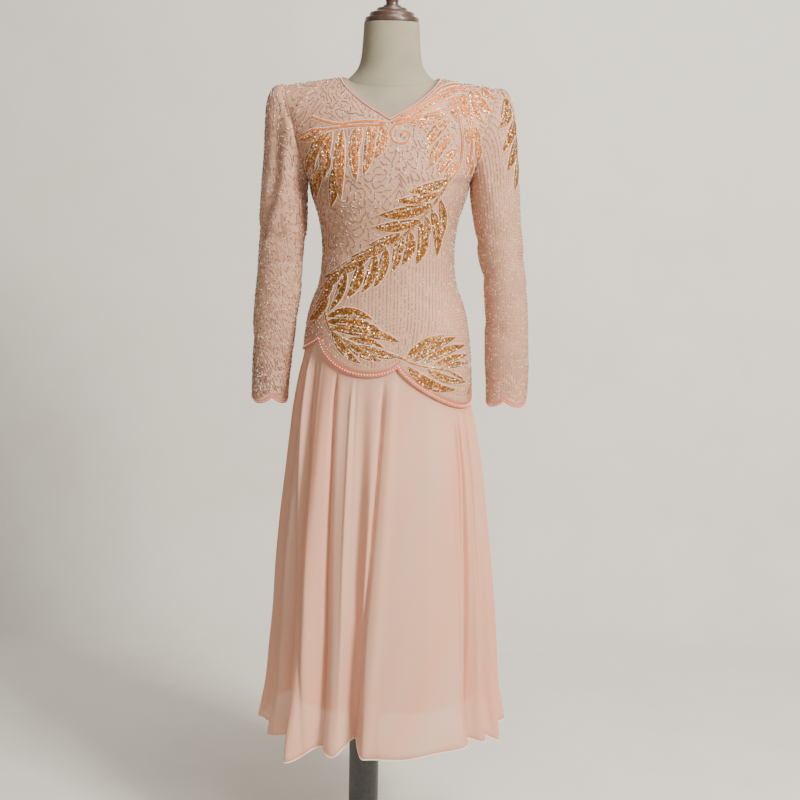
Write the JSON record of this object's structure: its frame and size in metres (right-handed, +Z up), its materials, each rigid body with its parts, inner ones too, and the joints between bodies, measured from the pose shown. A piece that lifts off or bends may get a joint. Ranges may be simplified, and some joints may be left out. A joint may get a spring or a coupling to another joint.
{
  "type": "evening dress on a limbless dress form with stand",
  "caption": "Long-sleeved evening dress with a beaded V-neck bodice, scalloped dropped hem and flared chiffon skirt, worn on a limbless dress form on a column stand",
  "frame": {"origin": "on the floor, under the middle of the dress form", "axes": "+X to the right seen from the front, the dress faces -Y, +Z up"},
  "size_m": [0.5263, 0.4357, 1.6945],
  "materials": {
    "beaded_silk": "semi-sheer silk with bead rows and sequin leaf sprays",
    "corded_edge": "corded edge with small beads",
    "chiffon": "matt, lightly see-through chiffon",
    "lining_satin": "plain lining satin",
    "zip_tape": "closed coil on woven tape",
    "zip_metal": "pale satin brass",
    "form_linen": "linen cover over a stiff form",
    "turned_wood": "dark stained, polished",
    "black_steel": "satin black powder coat"
  },
  "bodies": {
    "dress_and_form": {"bodice_front": "beaded_silk", "bodice_back_left": "beaded_silk", "bodice_back_right": "beaded_silk", "sleeve_left": "beaded_silk", "sleeve_right": "beaded_silk", "neck_cord": "corded_edge", "hem_braid": "corded_edge", "cuff_braid_left": "corded_edge", "cuff_braid_right": "corded_edge", "zip_chain": "zip_tape", "zip_slider": "zip_metal", "skirt_chiffon": "chiffon", "skirt_lining": "lining_satin", "form_torso": "form_linen", "neck_cap": "turned_wood", "neck_finial": "turned_wood", "form_base_plate": "black_steel", "stand_column": "black_steel", "stand_foot": "black_steel"},
    "zip_pull": {"zip_pull": "zip_metal"}
  },
  "joints": [
    {"name": "zip_pull_swing", "type": "hinge", "parent": "dress_and_form", "child": "zip_pull", "pos_m": [0, 0.08071, 1.49097], "axis": [1, 0, 0], "range_deg": [0, 110]}
  ]
}
